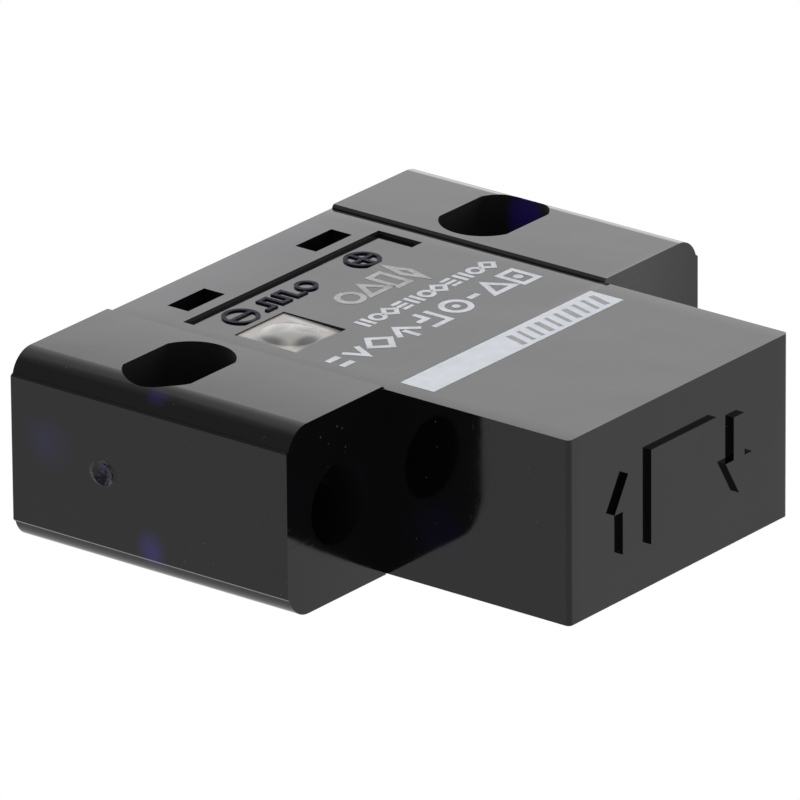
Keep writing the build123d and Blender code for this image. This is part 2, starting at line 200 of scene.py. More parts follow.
def stretched(tree, place, scale, turn=(0, 0, 0)):
    made = node(tree, "ShaderNodeMapping", Scale=scale, Rotation=turn)
    attach(tree, place, made.inputs["Vector"])
    return made.outputs[0]


def noise(tree, place, size, detail=2.0, roughness=0.5, distortion=0.0):
    """Noise from 0 to 1 whose largest features are about size across."""
    made = node(
        tree, "ShaderNodeTexNoise", Scale=1 / size, Detail=detail, Roughness=roughness, Distortion=distortion
    )
    attach(tree, place, made.inputs["Vector"])
    return made.outputs["Fac"]


def dots(tree, place, size, reach):
    """1 within reach of scattered points about size apart; reach is in sizes, a number or a socket."""
    cells = node(tree, "ShaderNodeTexVoronoi", feature="F1", Scale=1 / size)
    attach(tree, place, cells.inputs["Vector"])
    return math_node(tree, "LESS_THAN", cells.outputs["Distance"], reach)


def spot(tree, place, centre, radii, soft=0.5):
    """Soft ball of value 1 round centre, which fades to 0 at the radii."""
    offset = node(tree, "ShaderNodeVectorMath", operation="SUBTRACT")
    attach(tree, place, offset.inputs[0])
    offset.inputs[1].default_value = centre
    scaled = node(tree, "ShaderNodeVectorMath", operation="DIVIDE")
    tree.links.new(offset.outputs[0], scaled.inputs[0])
    scaled.inputs[1].default_value = radii
    length = node(tree, "ShaderNodeVectorMath", operation="LENGTH")
    tree.links.new(scaled.outputs[0], length.inputs[0])
    return remap(tree, length.outputs["Value"], (1 - soft, 1), (1, 0), smooth=True)


def inside_box(tree, place, x, y, soft):
    """1 inside the rectangle, falling to 0 over a soft edge."""
    sides = split(tree, place)
    edges = [
        remap(tree, sides["X"], (x[0] - soft, x[0] + soft), (0, 1), smooth=True),
        remap(tree, sides["X"], (x[1] - soft, x[1] + soft), (1, 0), smooth=True),
        remap(tree, sides["Y"], (y[0] - soft, y[0] + soft), (0, 1), smooth=True),
        remap(tree, sides["Y"], (y[1] - soft, y[1] + soft), (1, 0), smooth=True),
    ]
    return multiply(tree, *edges)


def bump(tree, height, depth, below=None):
    """Surface normal pushed by a height from 0 to 1 that is depth millimetres deep."""
    made = node(tree, "ShaderNodeBump", Strength=1.0, Distance=depth * MM)
    attach(tree, height, made.inputs["Height"])
    if below is not None:
        tree.links.new(below, made.inputs["Normal"])
    return made.outputs[0]


def upright(tree):
    """1 on upright walls, 0 on level faces."""
    geometry = node(tree, "ShaderNodeNewGeometry")
    level = math_node(tree, "ABSOLUTE", split(tree, geometry.outputs["Normal"])["Z"])
    return remap(tree, level, (0.4, 0.6), (1, 0))


def new_material(name):
    """Node material, its tree, its principled shader and the place on the object."""
    material = bpy.data.materials.new(name)
    material.use_nodes = True
    tree = material.node_tree
    return material, tree, tree.nodes["Principled BSDF"], millimetres(tree)


def finish_shader(tree, shader, colour, roughness, normal):
    attach(tree, colour, shader.inputs["Base Color"])
    attach(tree, roughness, shader.inputs["Roughness"])
    attach(tree, normal, shader.inputs["Normal"])


# ---- world and floor ------------------------------------------------------------------
def add_world():
    """Bright soft backdrop behind the object, dimmer above it and dim in front."""
    world = bpy.data.worlds.new("studio")
    bpy.context.scene.world = world
    world.use_nodes = True
    tree = world.node_tree
    tree.nodes.clear()
    output = node(tree, "ShaderNodeOutputWorld")
    background = node(tree, "ShaderNodeBackground")
    coords = node(tree, "ShaderNodeTexCoord")
    behind = node(tree, "ShaderNodeVectorMath", operation="DOT_PRODUCT")
    behind.inputs[1].default_value = BACK_DIRECTION
    tree.links.new(coords.outputs["Generated"], behind.inputs[0])
    height = split(tree, coords.outputs["Generated"])["Z"]
    ramp = node(tree, "ShaderNodeValToRGB")
    ramp.color_ramp.interpolation = "EASE"
    while len(ramp.color_ramp.elements) < len(SKY_LEVELS):
        ramp.color_ramp.elements.new(0.5)
    for element, (place, level) in zip(ramp.color_ramp.elements, SKY_LEVELS):
        element.position = place
    for element, (place, level) in zip(ramp.color_ramp.elements, SKY_LEVELS):
        grey = level / SKY_PEAK
        element.color = (grey, grey, grey, 1)
    tree.links.new(height, ramp.inputs["Fac"])
    sky = multiply(tree, ramp.outputs["Color"], SKY_PEAK)
    side = remap(tree, behind.outputs["Value"], BACK_RAMP, (0, 1), smooth=True)
    rise = multiply(tree, side, add(tree, sky, -FRONT_LEVEL))
    tree.links.new(add(tree, rise, FRONT_LEVEL), background.inputs["Strength"])
    tree.links.new(background.outputs[0], output.inputs[0])


def add_floor():
    """Evenly lit white floor, with a painted shadow where the object stands on it."""
    mesh = bpy.data.meshes.new("floor")
    shape = bmesh.new()
    bmesh.ops.create_circle(shape, cap_ends=True, segments=96, radius=FLOOR_RADIUS)
    shape.to_mesh(mesh)
    shape.free()
    floor = bpy.data.objects.new("floor", mesh)
    bpy.context.scene.collection.objects.link(floor)
    floor.location.z = -FLOOR_GAP * MM
    material = bpy.data.materials.new("floor")
    material.use_nodes = True
    tree = material.node_tree
    tree.nodes.clear()
    output = node(tree, "ShaderNodeOutputMaterial")
    place = millimetres(tree)
    wing_end = WING_END_X - FILLET_INSET
    wing_depth = (WING_FRONT_Y + EDGE_INSET, REAR_Y - EDGE_INSET)
    block_side = HALF_BLOCK - EDGE_INSET
    block_depth = (FRONT_Y + EDGE_INSET, WING_FRONT_Y + 2 * EDGE_INSET)
    wings = inside_box(tree, place, (-wing_end, wing_end), wing_depth, CONTACT_SOFT)
    block = inside_box(tree, place, (-block_side, block_side), block_depth, CONTACT_SOFT)
    # painted contact shadow: the floor doesn't glow where the object covers it
    footprint_shadow = highest(tree, wings, block)
    glow = node(tree, "ShaderNodeEmission")
    tree.links.new(remap(tree, footprint_shadow, (0, 1), (FLOOR_GLOW, 0)), glow.inputs["Strength"])
    tree.links.new(glow.outputs[0], output.inputs[0])
    mesh.materials.append(material)


# ---- case plastic ---------------------------------------------------------------------
GATE_PLACE = (-WING_END_X, 1.25, 3.8)
SLOT_X = 9.5
SLOT_HALF_LENGTH = 2.5
SLOT_HALF_WIDTH = 1.75
HOLE_Z = 3.75
HOLE_REACH = 1.605                         # just past the round hole's radius
POCKET_X = (-6.0, 6.0)                     # shallow pocket behind the lens
POCKET_Y = (0.55, 2.85)
MARKS_X = (-4.75, 4.3)                     # raised terminal marks in the pocket
MARKS_Y = (0.72, 2.4)
MARKS_Z = (BLOCK_TOP - 0.11, BLOCK_TOP - 0.05)    # their tops
LATCH_WINDOW = (3.84, 3.75, 6.8)

BLACK = (0.0012, 0.0011, 0.0016, 1)
BLACK_MOTTLE = (0.0022, 0.002, 0.0029, 1)
# painted violet light
GLOW_VIOLET = (0.018, 0.013, 0.11, 1)
# painted deep violet light at the right slot's end
GLOW_DEEP_VIOLET = (0.03, 0.012, 0.22, 1)
# painted navy light on the raised marks' tops and walls
MARK_GLOW_NAVY = (0.012, 0.010, 0.028, 1)
# painted light: pocket walls lighter grey than the plastic
LIT_POCKET_WALL = (0.034, 0.032, 0.040, 1)
SHADED = (0.008, 0.008, 0.0095, 1)
# dust, and a painted highlight along the steps
DUST_AND_SHEEN = (0.16, 0.16, 0.17, 1)

# strength, centre, radii and softness of each patch of painted violet light
GLOW_PATCHES = [
    (0.3, (-WING_END_X, 3.9, 4.4), (0.7, 1.5, 1.4), 0.95),
    (1.0, (-WING_END_X, -1.0, 1.2), (0.6, 0.85, 1.1), 0.9),
    (1.0, (-WING_END_X + 0.3, -1.0, 7.35), (0.6, 0.7, 0.5), 0.9),
    (0.08, (-HALF_BLOCK, -10.0, 2.3), (0.5, 1.9, 1.6), 0.9),
    (0.12, (0.0, REAR_Y - 0.6, BLOCK_TOP), (7.5, 2.2, 0.5), 0.5),
]


def slot_mask(tree, place, x):
    """1 inside the slot and on its walls."""
    across = (x - SLOT_HALF_LENGTH, x + SLOT_HALF_LENGTH)
    return inside_box(tree, place, across, (-SLOT_HALF_WIDTH, SLOT_HALF_WIDTH), 0.05)


def hole_mask(tree, place, x):
    """1 inside the round hole that runs from front to back."""
    return spot(tree, place, (x, -0.9, HOLE_Z), (HOLE_REACH, 400, HOLE_REACH), 0.001)


def window_mask(tree, place, side):
    x, y, z = LATCH_WINDOW
    return spot(tree, place, (side * x, y, z), (1.6, 0.9, 0.9), 0.1)


def case_regions(tree, place):
    """Masks of the case's own features, each 1 on the feature and 0 elsewhere."""
    walls = upright(tree)
    height = split(tree, place)["Z"]
    near_top = between(tree, height, (BLOCK_TOP - 0.25, BLOCK_TOP + 0.02))
    pocket = multiply(tree, inside_box(tree, place, POCKET_X, POCKET_Y, 0.05), near_top)
    marked = multiply(tree, inside_box(tree, place, MARKS_X, MARKS_Y, 0.02), near_top)
    slots = highest(tree, *[slot_mask(tree, place, x) for x in (-SLOT_X, SLOT_X)])
    windows = highest(tree, *[window_mask(tree, place, side) for side in (-1, 1)])
    return {
        "slots": multiply(tree, slots, walls),
        "holes": highest(tree, *[hole_mask(tree, place, x) for x in (-SLOT_X, SLOT_X)]),
        "windows": multiply(tree, windows, walls),
        "pocket_walls": multiply(tree, pocket, walls),
        "mark_walls": multiply(tree, marked, walls),
        "mark_tops": multiply(tree, marked, between(tree, height, MARKS_Z)),
        "crater": spot(tree, place, GATE_PLACE, (0.4, 0.7, 0.55), 0.3),
    }


def violet_light(tree, place, crater):
    """Painted violet light: cloudy patches where light gets through the plastic, and lit violet specks in the
    gate dimple.
    """
    patches = [multiply(tree, spot(tree, place, *patch), level) for level, *patch in GLOW_PATCHES]
    clouds = remap(tree, noise(tree, place, 0.9, detail=3), (0.35, 0.6), (0.6, 1))
    specks = remap(tree, noise(tree, place, 0.12, detail=2), (0.55, 0.62), (0, 0.8))
    glow = multiply(tree, highest(tree, *patches), clouds)
    return highest(tree, glow, multiply(tree, crater, specks))


def front_haze_and_step_highlight(tree, place):
    """Lighter grey over the right wing's front, and a painted highlight along the step beside each wing."""
    sides = split(tree, place)
    haze = spot(tree, place, (7.2, WING_FRONT_Y, 7.2), (6.5, 0.3, 6.0), 1.0)
    out = math_node(tree, "ABSOLUTE", sides["X"])
    beside_block = between(tree, out, (HALF_BLOCK - 0.01, HALF_BLOCK + 0.11))
    on_step = between(tree, sides["Z"], (BLOCK_TOP - 0.01, WING_TOP - 0.005))
    return highest(tree, multiply(tree, haze, 0.28), multiply(tree, beside_block, on_step, 0.15))


def dust_specks(tree, place):
    """Scattered specks, denser on the left wing's front."""
    settled = spot(tree, place, (-9.6, WING_FRONT_Y, 6.3), (2.2, 0.4, 1.3), 0.8)
    dusty = add(tree, noise(tree, place, 3.0), multiply(tree, settled, 0.35))
    return dots(tree, place, 0.36, remap(tree, dusty, (0.48, 0.8), (0, 0.10)))


def case_colour(tree, place, regions, dust):
    """Near-black plastic with dust, shaded recesses, painted violet light, painted light on pocket and mark
    walls and a painted step highlight, laid over one another.
    """
    # painted violet light on the right slot's end wall
    slot_end_glow = spot(tree, place, (11.9, 0.3, 6.4), (0.5, 1.4, 1.6), 0.7)
    layers = [
        # painted violet light in cloudy patches and in the gate dimple
        (violet_light(tree, place, regions["crater"]), GLOW_VIOLET),
        # painted light: pocket walls lighter grey than the plastic
        (regions["pocket_walls"], LIT_POCKET_WALL),
        # painted navy light on the raised marks' tops and walls
        (highest(tree, regions["mark_tops"], regions["mark_walls"]), MARK_GLOW_NAVY),
        (highest(tree, regions["slots"], regions["holes"], regions["windows"]), SHADED),
        (multiply(tree, slot_end_glow, regions["slots"]), GLOW_DEEP_VIOLET),
        # lighter grey over the right wing's front, and a painted highlight along the steps
        (front_haze_and_step_highlight(tree, place), DUST_AND_SHEEN),
        (multiply(tree, dust, 0.5), DUST_AND_SHEEN),
    ]
    colour = mix_colour(tree, noise(tree, place, 2.5), BLACK, BLACK_MOTTLE)
    for mask, layer in layers:
        colour = mix_colour(tree, mask, colour, layer)
    return colour


def case_roughness(tree, place, regions, dust):
    """Glossy with faint smears; matt in the slots, on the marks' tops and on dust."""
    smears = noise(tree, stretched(tree, place, (1, 0.35, 1), (0, 0, 0.6)), 1.8, detail=5, roughness=0.6)
    gloss = add(tree, remap(tree, smears, (0.35, 0.7), (0.055, 0.11)), multiply(tree, dust, 0.4))
    matt = multiply(tree, highest(tree, regions["slots"], regions["mark_tops"]), 0.7)
    return math_node(tree, "MINIMUM", add(tree, gloss, matt), 1.0)


def sagging_faces(tree, place):
    """Wings that sag a little towards their ends, and a soft roll-off at the block's sides and rear."""
    sides = split(tree, place)
    out = math_node(tree, "ABSOLUTE", sides["X"])
    on_block = math_node(tree, "LESS_THAN", out, HALF_BLOCK + 0.02)
    left = remap(tree, sides["X"], (-HALF_BLOCK - 0.3, -WING_END_X), (0, 1))
    right = remap(tree, sides["X"], (HALF_BLOCK + 0.3, WING_END_X), (0, 0.45))
    wing = highest(tree, left, right)
    rim = remap(tree, out, (HALF_BLOCK - 0.8, HALF_BLOCK), (0, 1))
    rear = remap(tree, sides["Y"], (3.2, REAR_Y), (0, 1))
    wings_down = bump(tree, multiply(tree, wing, wing, -1), 0.13)
    sides_down = bump(tree, multiply(tree, rim, rim, -1, on_block), 0.010, wings_down)
    return bump(tree, multiply(tree, rear, rear, -1, on_block), 0.025, sides_down)


def case_normal(tree, place, regions):
    """Sagging faces with slow waves, fine scratches, grain, and torn plastic at the gate and marks."""
    sway = bump(tree, noise(tree, place, 4.5, detail=1.0), 0.02, sagging_faces(tree, place))
    ripple = bump(tree, noise(tree, place, 1.8, detail=2.0), 0.004, sway)
    scratch_lines = stretched(tree, place, (0.25, 6.0, 6.0), (0.3, 0.2, 0.7))
    scratches = remap(tree, noise(tree, scratch_lines, 0.9, detail=2), (0.66, 0.72), (0, 1))
    scratched = bump(tree, scratches, 0.0007, ripple)
    grained = bump(tree, noise(tree, place, 0.05, detail=2), 0.0004, scratched)
    rough_places = highest(tree, regions["crater"], regions["mark_tops"])
    return bump(tree, multiply(tree, noise(tree, place, 0.2, detail=3), rough_places), 0.06, grained)


def case_plastic():
    """Glossy black moulding that passes infrared; the violet light through its thin places is painted into
    its colour.
    """
    material, tree, shader, place = new_material("case_plastic")
    shader.inputs["IOR"].default_value = 1.39
    regions = case_regions(tree, place)
    dust = dust_specks(tree, place)
    colour = case_colour(tree, place, regions, dust)
    roughness = case_roughness(tree, place, regions, dust)
    finish_shader(tree, shader, colour, roughness, case_normal(tree, place, regions))
    return material


# ---- indicator lens -------------------------------------------------------------------
LENS_CENTRE = (LENS_LOW + LENS_HIGH) / 2
LENS_RIM_Z = LENS_HIGH.z - 0.1
LENS_REACH = 3                             # depth of the soft ovals, past the whole lens


def lens_oval(tree, place, x, y, radii, soft):
    """Soft oval on the lens, x and y away from its centre."""
    centre = (LENS_CENTRE.x + x, LENS_CENTRE.y + y, LENS_RIM_Z)
    return spot(tree, place, centre, (*radii, LENS_REACH), soft)


def clear_lens():
    """Milky clear window with painted light and shade: a painted highlight on its right rim, painted shade on
    its centre, rear, near flanks and near edges.
    """
    material, tree, shader, place = new_material("clear_lens")
    shader.inputs["IOR"].default_value = 1.42
    shader.inputs["Subsurface Weight"].default_value = 0.15
    shader.inputs["Subsurface Radius"].default_value = (0.0004, 0.00035, 0.0003)
    shader.inputs["Subsurface Scale"].default_value = 1.0
    behind = lens_oval(tree, place, 0.3, 0.6, (0.9, 0.5), 0.7)
    beside = lens_oval(tree, place, 0.65, -0.1, (0.5, 0.9), 0.7)
    left = lens_oval(tree, place, -1.08, 0.12, (0.6, 0.95), 0.75)
    front = lens_oval(tree, place, -0.22, -0.97, (1.0, 0.52), 0.75)
    left_edge_shade = lens_oval(tree, place, -1.48, 0, (0.3, 2.6), 0.5)
    front_edge_shade = lens_oval(tree, place, 0, -1.48, (2.6, 0.4), 0.5)
    near_edge_shade = highest(tree, left_edge_shade, front_edge_shade)
    layers = [
        # painted shade over the dome's centre
        (lens_oval(tree, place, 0.02, 0.1, (0.85, 0.75), 0.3), (0.38, 0.38, 0.375, 1)),
        # painted shade behind and beside the dome
        (highest(tree, behind, beside), (0.20, 0.195, 0.19, 1)),
        # painted highlight on the right rim
        (lens_oval(tree, place, 1.3, 0, (0.4, 1.5), 0.6), (0.62, 0.59, 0.56, 1)),
        # painted shade: dark crescents on the left and front flanks
        (highest(tree, left, front), (0.09, 0.086, 0.084, 1)),
        # painted shade on the tops of the near edges
        (multiply(tree, near_edge_shade, opposite(tree, upright(tree))), (0.03, 0.03, 0.03, 1)),
    ]
    haze = remap(tree, noise(tree, place, 0.5, detail=3), (0.3, 0.7), (0.0, 0.25))
    colour = mix_colour(tree, haze, (0.46, 0.43, 0.40, 1), (0.40, 0.375, 0.35, 1))
    for mask, layer in layers:
        colour = mix_colour(tree, mask, colour, layer)
    roughness = remap(tree, noise(tree, place, 0.7, detail=4), (0.3, 0.7), (0.16, 0.28))
    normal = bump(tree, noise(tree, place, 0.8, detail=2), 0.006)
    finish_shader(tree, shader, colour, roughness, normal)
    return material


# ---- inks -----------------------------------------------------------------------------
def ink(name, light, dark, wear):
    """Screen-printed ink: slightly uneven, matt and a little worn."""
    material, tree, shader, place = new_material(name)
    shader.inputs["IOR"].default_value = 1.45
    patchy = noise(tree, place, 0.6, detail=4, roughness=0.65)
    colour = mix_colour(tree, remap(tree, patchy, (0.35, 0.65), (0, 1)), light, dark)
    pinholes = dots(tree, place, 0.3, wear)
    colour = mix_colour(tree, multiply(tree, pinholes, 0.5), colour, (0.05, 0.05, 0.055, 1))
    roughness = remap(tree, noise(tree, place, 0.25, detail=3), (0.3, 0.7), (0.42, 0.6))
    normal = bump(tree, noise(tree, place, 0.12, detail=3), 0.003)
    finish_shader(tree, shader, colour, roughness, normal)
    return material


# ---- other materials ------------------------------------------------------------------
def moulded(name, dark, light, roughness, grain=0.004):
    """Matt moulding with fine spark-eroded grain and faint flow lines."""
    material, tree, shader, place = new_material(name)
    shader.inputs["IOR"].default_value = 1.5
    flow = noise(tree, stretched(tree, place, (0.4, 1.6, 1.0), (0, 0, 0.3)), 1.4, detail=4, distortion=0.8)
    colour = mix_colour(tree, remap(tree, flow, (0.35, 0.65), (0, 1)), dark, light)
    rough = remap(tree, noise(tree, place, 0.6, detail=3), (0.3, 0.7), (roughness - 0.07, roughness + 0.07))
    ripple = bump(tree, flow, 0.004)
    normal = bump(tree, noise(tree, place, 0.07, detail=3), grain, ripple)
    finish_shader(tree, shader, colour, rough, normal)
    return material


def plated(name, bright, dull, roughness, drawn):
    """Plated metal with marks drawn along one direction and small dull stains."""
    material, tree, shader, place = new_material(name)
    shader.inputs["Metallic"].default_value = 1.0
    lines = noise(tree, stretched(tree, place, drawn), 0.25, detail=4, roughness=0.6)
    stains = remap(tree, noise(tree, place, 0.7, detail=3), (0.45, 0.7), (0, 0.7))
    colour = mix_colour(tree, stains, bright, dull)
    colour = mix_colour(tree, remap(tree, lines, (0.3, 0.7), (0, 0.25)), colour, dull)
    rough = remap(tree, lines, (0.3, 0.7), (roughness - 0.08, roughness + 0.1))
    normal = bump(tree, lines, 0.003)
    finish_shader(tree, shader, colour, rough, normal)
    return material


TRACK_PITCH = 0.55
TRACK_WIDTH = 0.16


def track_lines(tree, along, pitch, width):
    """1 on thin lines at every pitch."""
    return math_node(tree, "LESS_THAN", off_row(tree, along, pitch), width / pitch / 2)


def board_material():
    """Green solder mask over copper tracks, with bare tinned pads and a fibreglass edge."""
    material, tree, shader, place = new_material("board")
    sides = split(tree, place)
    across = track_lines(tree, sides["X"], TRACK_PITCH, TRACK_WIDTH)
    along = track_lines(tree, sides["Y"], TRACK_PITCH, TRACK_WIDTH)
    level = stretched(tree, place, (1, 1, 0))
    turned = math_node(tree, "GREATER_THAN", noise(tree, level, 3.0, detail=0), 0.5)
    gaps = math_node(tree, "GREATER_THAN", noise(tree, level, 1.5, detail=1), 0.45)
    lines = add(tree, multiply(tree, turned, across), multiply(tree, opposite(tree, turned), along))
    track = multiply(tree, lines, gaps)
    mottle = noise(tree, place, 1.2, detail=4)
    green = mix_colour(tree, mottle, (0.010, 0.07, 0.028, 1), (0.016, 0.095, 0.038, 1))
    colour = mix_colour(tree, track, green, (0.04, 0.17, 0.06, 1))
    colour = mix_colour(tree, dots(tree, level, 1.4, 0.1), colour, (0.6, 0.58, 0.52, 1))
    weave = noise(tree, stretched(tree, place, (0.15, 0.15, 3.0)), 0.3, detail=3)
    laminate = mix_colour(tree, weave, (0.30, 0.30, 0.14, 1), (0.42, 0.40, 0.22, 1))
    colour = mix_colour(tree, upright(tree), colour, laminate)
    roughness = remap(tree, mottle, (0.3, 0.7), (0.3, 0.45))
    normal = bump(tree, weave, 0.004, bump(tree, track, 0.02))
    finish_shader(tree, shader, colour, roughness, normal)
    return material


def epoxy(name, thin, thick, clear):
    """Clear or dyed epoxy, cloudy in patches, with a few tiny bubbles."""
    material, tree, shader, place = new_material(name)
    shader.inputs["IOR"].default_value = 1.54
    shader.inputs["Transmission Weight"].default_value = clear
    shader.inputs["Coat Weight"].default_value = 0.2
    clouds = noise(tree, place, 1.1, detail=3)
    colour = mix_colour(tree, remap(tree, clouds, (0.35, 0.65), (0, 1)), thin, thick)
    bubbles = dots(tree, place, 0.5, 0.05)
    colour = mix_colour(tree, multiply(tree, bubbles, 0.4), colour, (0.7, 0.7, 0.75, 1))
    roughness = remap(tree, noise(tree, place, 0.5, detail=3), (0.3, 0.7), (0.08, 0.2))
    normal = bump(tree, clouds, 0.01)
    finish_shader(tree, shader, colour, roughness, normal)
    return material


WARM_WHITE = [(0.80, 0.79, 0.74, 1), (0.70, 0.69, 0.62, 1)]
CHIP_BLACK = [(0.02, 0.02, 0.025, 1), (0.04, 0.04, 0.05, 1)]
CERAMIC_TAN = [(0.42, 0.30, 0.18, 1), (0.50, 0.38, 0.24, 1)]
TANTALUM_YELLOW = [(0.70, 0.42, 0.06, 1), (0.60, 0.36, 0.05, 1)]


def banded(name, first, pitch, half, ends, colours):
    """Chip bodies in a row along X, each with tinned ends; half is half a chip's length."""
    material, tree, shader, place = new_material(name)
    away = off_row(tree, add(tree, split(tree, place)["X"], -first), pitch)
    end = math_node(tree, "GREATER_THAN", away, (half - ends) / pitch)
    mottle = noise(tree, place, 0.3, detail=4)
    colour = mix_colour(tree, remap(tree, mottle, (0.35, 0.65), (0, 1)), *colours)
    tin = mix_colour(tree, mottle, (0.74, 0.74, 0.72, 1), (0.6, 0.6, 0.58, 1))
    colour = mix_colour(tree, end, colour, tin)
    tree.links.new(end, shader.inputs["Metallic"])
    roughness = remap(tree, mottle, (0.3, 0.7), (0.35, 0.55))
    normal = bump(tree, noise(tree, place, 0.08, detail=3), 0.004)
    finish_shader(tree, shader, colour, roughness, normal)
    return material


def build_materials():
    """One material for each slot of the record, by slot name."""
    along_y = (1, 0.06, 1)
    all_ways = (1, 1, 1)
    return {
        "case_plastic": case_plastic(),
        "clear_lens": clear_lens(),
        "base_plastic": moulded("base_plastic", (0.012, 0.012, 0.014, 1), (0.022, 0.022, 0.025, 1), 0.5),
        "holder_plastic": moulded("holder_plastic", (0.008, 0.008, 0.009, 1), (0.015, 0.015, 0.016, 1), 0.6),
        "ic_epoxy": moulded("ic_epoxy", (0.02, 0.02, 0.021, 1), (0.035, 0.035, 0.036, 1), 0.62, 0.008),
        "contact_metal": plated("contact_metal", (0.82, 0.80, 0.76, 1), (0.55, 0.51, 0.45, 1), 0.26, along_y),
        "lead_metal": plated("lead_metal", (0.78, 0.78, 0.76, 1), (0.5, 0.49, 0.46, 1), 0.32, all_ways),
        "shield_metal": plated("shield_metal", (0.75, 0.75, 0.76, 1), (0.45, 0.45, 0.46, 1), 0.34, along_y),
        "solder": plated("solder", (0.78, 0.78, 0.78, 1), (0.42, 0.41, 0.39, 1), 0.24, all_ways),
        "board": board_material(),
        "emitter_epoxy": epoxy("emitter_epoxy", (0.5, 0.58, 0.75, 1), (0.35, 0.42, 0.6, 1), 0.7),
        "receiver_epoxy": epoxy("receiver_epoxy", (0.03, 0.018, 0.03, 1), (0.015, 0.01, 0.018, 1), 0.0),
        "led_body": banded("led_body", LENS_CENTRE.x, 9.0, 0.65, 0.2, WARM_WHITE),
        "resistor_body": banded("resistor_body", -1.5, 1.7, 0.5, 0.2, CHIP_BLACK),
        "ceramic_body": banded("ceramic_body", -2.4, 2.4, 0.8, 0.3, CERAMIC_TAN),
        "tantalum_body": banded("tantalum_body", -3.3, 9.0, 1.6, 0.4, TANTALUM_YELLOW),
    }


def dress_nodes(materials):
    """Each CAD node gets the material of the slot that the record names for it."""
    for subpart in frame["record"]["subparts"]:
        mesh = frame["nodes"][subpart["node"]].data
        for index in range(len(mesh.materials)):
            mesh.materials[index] = materials[subpart["material_slot"]]


# ---- printed marks --------------------------------------------------------------------
INK_THICKNESS = 0.012
INK_LOW = BLOCK_TOP - 0.004                # sunk a little, so that no gap shows


def band(points, width, closed=False):
    """Outlines of a mitred strip along a path: one outline, or an outer and an inner one if closed."""
    count = len(points)
    left = []
    right = []
    for i in range(count):
        here = Vector(points[i])
        before = Vector(points[i - 1]) if closed or i > 0 else None
        after = Vector(points[(i + 1) % count]) if closed or i < count - 1 else None
        runs = []
        if before is not None:
            runs.append((here - before).normalized())
        if after is not None:
            runs.append((after - here).normalized())
        sides = [Vector((-run.y, run.x)) for run in runs]
        miter = sum(sides, Vector((0, 0))).normalized()
        reach = width / 2 / miter.dot(sides[0])
        left.append(here + miter * reach)
        right.append(here - miter * reach)
    return left, right


def flat_strip(shape, left, right, closed, height):
    """Closed slab between two rows of points, from height[0] to height[1] (in millimetres)."""
    rows = []
    for z in height:
        for row in (left, right):
            rows.append([shape.verts.new(Vector((p.x, p.y, z)) * MM) for p in row])
    low_left, low_right, high_left, high_right = rows
    count = len(left)
    last = count if closed else count - 1
    for i in range(last):
        j = (i + 1) % count
        shape.faces.new((high_right[i], high_right[j], high_left[j], high_left[i]))
        shape.faces.new((low_left[i], low_left[j], low_right[j], low_right[i]))
        shape.faces.new((high_left[i], high_left[j], low_left[j], low_left[i]))
        shape.faces.new((low_right[i], low_right[j], high_right[j], high_right[i]))
    if not closed:
        for i in (0, count - 1):
            shape.faces.new((low_left[i], low_right[i], high_right[i], high_left[i]))


def circle(centre, radius, steps=28, start=0.0):
    """Evenly spaced points round a circle, the first one at start degrees."""
    turns = [math.radians(start + 360 * i / steps) for i in range(steps)]
    return [(centre[0] + radius * math.cos(t), centre[1] + radius * math.sin(t)) for t in turns]


def polygon(centre, radius, sides, turn=0.0):
    return circle(centre, radius, sides, turn)


def rectangle(x, y):
    return [(x[0], y[0]), (x[1], y[0]), (x[1], y[1]), (x[0], y[1])]


class Print:
    """One printed piece, made of separate closed slabs of ink."""

    def __init__(self, name, material, height=(INK_LOW, INK_LOW + INK_THICKNESS)):
        self.name = name
        self.material = material
        self.height = height
        self.shape = bmesh.new()

    def line(self, points, width, closed=False):
        left, right = band(points, width, closed)
        flat_strip(self.shape, left, right, closed, self.height)

    def solid(self, outline):
        """Filled convex outline."""
        low = [self.shape.verts.new(Vector((x, y, self.height[0])) * MM) for x, y in outline]
        high = [self.shape.verts.new(Vector((x, y, self.height[1])) * MM) for x, y in outline]
        self.shape.faces.new(high)
        self.shape.faces.new(low[::-1])
        for i in range(len(outline)):
            j = (i + 1) % len(outline)
            self.shape.faces.new((low[i], low[j], high[j], high[i]))

    def finish(self):
        bmesh.ops.recalc_face_normals(self.shape, faces=self.shape.faces)
        mesh = bpy.data.meshes.new(self.name)
        self.shape.to_mesh(mesh)
        self.shape.free()
        mesh.materials.append(self.material)
        piece = bpy.data.objects.new(self.name, mesh)
        bpy.context.scene.collection.objects.link(piece)
        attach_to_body(piece, "root")


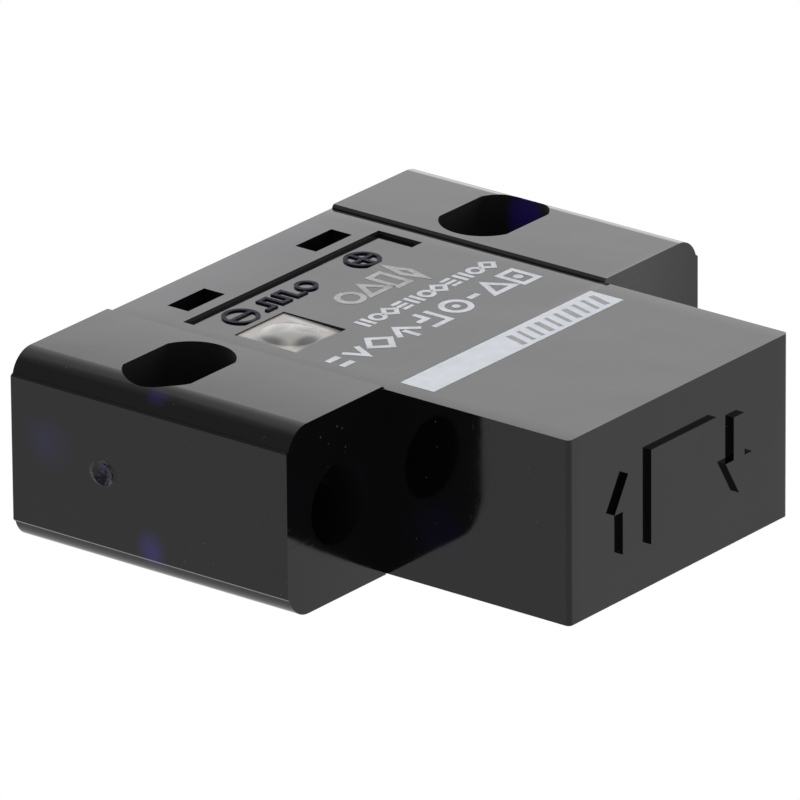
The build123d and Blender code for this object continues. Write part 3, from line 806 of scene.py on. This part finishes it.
def print_large_row(material):
    """Row of plain signs: square, triangle, bar, ring, angles, arrow, diamond, chevron and two bars."""
    row = Print("print_large_row", material)
    y = -4.42
    half = 0.62
    width = 0.24
    row.line(rectangle((4.82, 5.68), (y - half, y + half)), width, True)
    row.solid(circle((5.25, y), 0.2, steps=16))
    row.line(polygon((3.9, y - 0.08), 0.68, 3, 90), width, True)
    row.solid(rectangle((2.35, 2.95), (y - 0.02, y + 0.24)))
    row.line(circle((1.45, y), 0.56), width, True)
    row.solid(circle((1.45, y), 0.17, steps=16))
    row.line([(-0.72, y - half), (0.3, y - half), (0.3, y + half)], width)
    row.line([(-0.75, y + 0.1), (-0.2, y + 0.1), (-0.2, y + half + 0.12)], width)
    row.line([(-2.3, y - 0.3), (-1.68, y + 0.45), (-1.06, y - 0.3)], width)
    row.solid(rectangle((-1.80, -1.56), (y - half - 0.12, y + 0.05)))
    row.line(polygon((-3.15, y), 0.6, 4, 0), width, True)
    row.line([(-4.85, y + 0.45), (-4.42, y - 0.4), (-3.99, y + 0.45)], width)
    row.solid(rectangle((-5.88, -5.2), (y + 0.2, y + 0.48)))
    row.solid(rectangle((-5.88, -5.2), (y - 0.48, y - 0.2)))
    row.finish()


def print_small_row(material):
    """Row of small signs, four in turn: two bars, a ring, a diamond and three bars."""
    row = Print("print_small_row", material)
    y = -2.76
    half = 0.38
    pitch = 0.74
    start = -1.9
    count = 11
    for i in range(count):
        x = start + i * pitch
        kind = i % 4
        if kind == 0:
            row.solid(rectangle((x - 0.27, x - 0.07), (y - half, y + half)))
            row.solid(rectangle((x + 0.07, x + 0.27), (y - half, y + half)))
        elif kind == 1:
            row.line(circle((x, y), 0.28, steps=20), 0.19, True)
        elif kind == 2:
            row.line(polygon((x, y), 0.34, 4, 0), 0.19, True)
        else:
            row.solid(rectangle((x - 0.28, x + 0.28), (y - half, y - half + 0.18)))
            row.solid(rectangle((x - 0.28, x + 0.28), (y - 0.09, y + 0.09)))
            row.solid(rectangle((x - 0.28, x + 0.28), (y + half - 0.18, y + half)))
    row.finish()


def print_faint_row(material):
    """Four tall faint outlines: ring, triangle, rectangle and diamond."""
    row = Print("print_faint_row", material)
    y = -0.75
    width = 0.24
    row.line(circle((-0.25, y), 0.5), width, True)
    row.line(polygon((0.98, y - 0.15), 0.66, 3, 90), width, True)
    row.line(rectangle((1.75, 2.45), (y - 0.72, y + 0.72)), width, True)
    row.line([(3.1, y + 0.85), (2.85, y), (3.1, y - 0.85), (3.35, y)], width, True)
    row.finish()


STRIPE_X = (-5.85, 5.7)
STRIPE_Y = (-9.03, -7.47)


def print_stripe(material):
    """White stripe across the block."""
    stripe = Print("print_stripe", material)
    stripe.solid(rectangle(STRIPE_X, STRIPE_Y))
    stripe.finish()


def print_stripe_marks(material):
    """Slanted grey strokes at one end of the stripe."""
    height = (INK_LOW + INK_THICKNESS / 2, INK_LOW + 1.5 * INK_THICKNESS)
    marks = Print("print_stripe_marks", material, height)
    low = -8.8
    high = -7.82
    slant = 0.28
    start = -0.05
    pitch = 0.56
    count = 10
    for i in range(count):
        x = start + i * pitch
        width = 0.17 if i % 3 else 0.26
        marks.line([(x, low), (x + slant, high)], width)
    marks.finish()


# ---- scene ----------------------------------------------------------------------------
add_camera()
add_world()
add_floor()
dress_nodes(build_materials())
white_ink = ink("white_ink", (0.76, 0.79, 0.86, 1), (0.70, 0.73, 0.80, 1), 0.02)
pale_ink = ink("pale_ink", (0.76, 0.79, 0.85, 1), (0.62, 0.65, 0.70, 1), 0.03)
worn_ink = ink("worn_ink", (0.76, 0.79, 0.84, 1), (0.58, 0.605, 0.65, 1), 0.04)
faint_ink = ink("faint_ink", (0.52, 0.52, 0.525, 1), (0.36, 0.36, 0.365, 1), 0.04)
grey_ink = ink("grey_ink", (0.36, 0.365, 0.385, 1), (0.28, 0.285, 0.30, 1), 0.02)
print_large_row(pale_ink)
print_small_row(worn_ink)
print_faint_row(faint_ink)
print_stripe(white_ink)
print_stripe_marks(grey_ink)

bpy.context.scene.view_settings.view_transform = "Standard"
